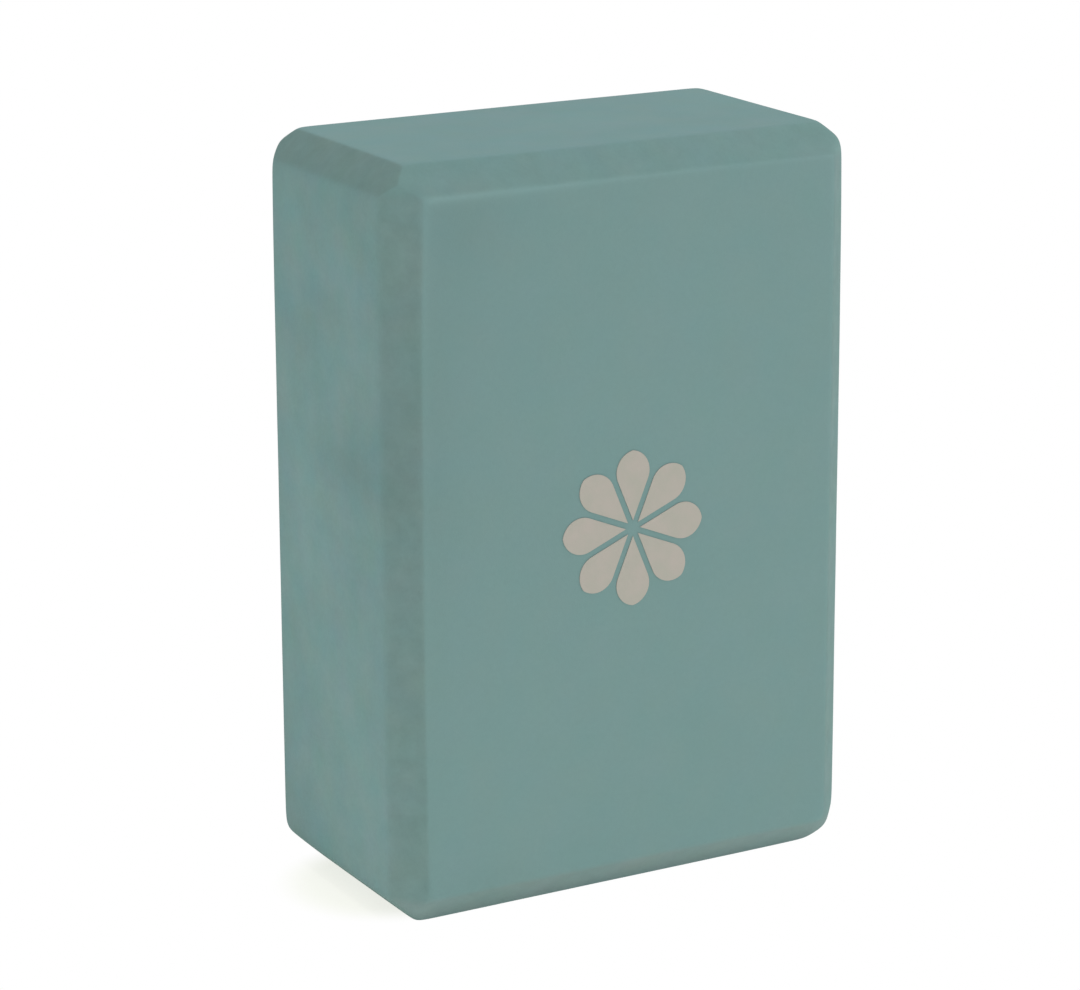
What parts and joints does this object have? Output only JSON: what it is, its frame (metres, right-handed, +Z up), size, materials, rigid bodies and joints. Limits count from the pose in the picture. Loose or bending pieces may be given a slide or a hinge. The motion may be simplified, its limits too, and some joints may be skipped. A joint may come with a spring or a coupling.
{
  "type": "yoga block",
  "caption": "Upright foam yoga block with flat bevels on its edges, eased creases and a petal rosette printed on its front face; a firm support for hands, hips or feet.",
  "frame": {"origin": "middle of the flat end that the block stands on", "axes": "+Z up along the block's length, +X along its width, to the right as one faces the print, +Y through its thickness, away from the print"},
  "size_m": [0.151, 0.0846, 0.22],
  "materials": {
    "foam": "matte",
    "print_ink": "matte"
  },
  "bodies": {
    "root": {"foam_block": "foam", "front_print": "print_ink"}
  },
  "joints": []
}
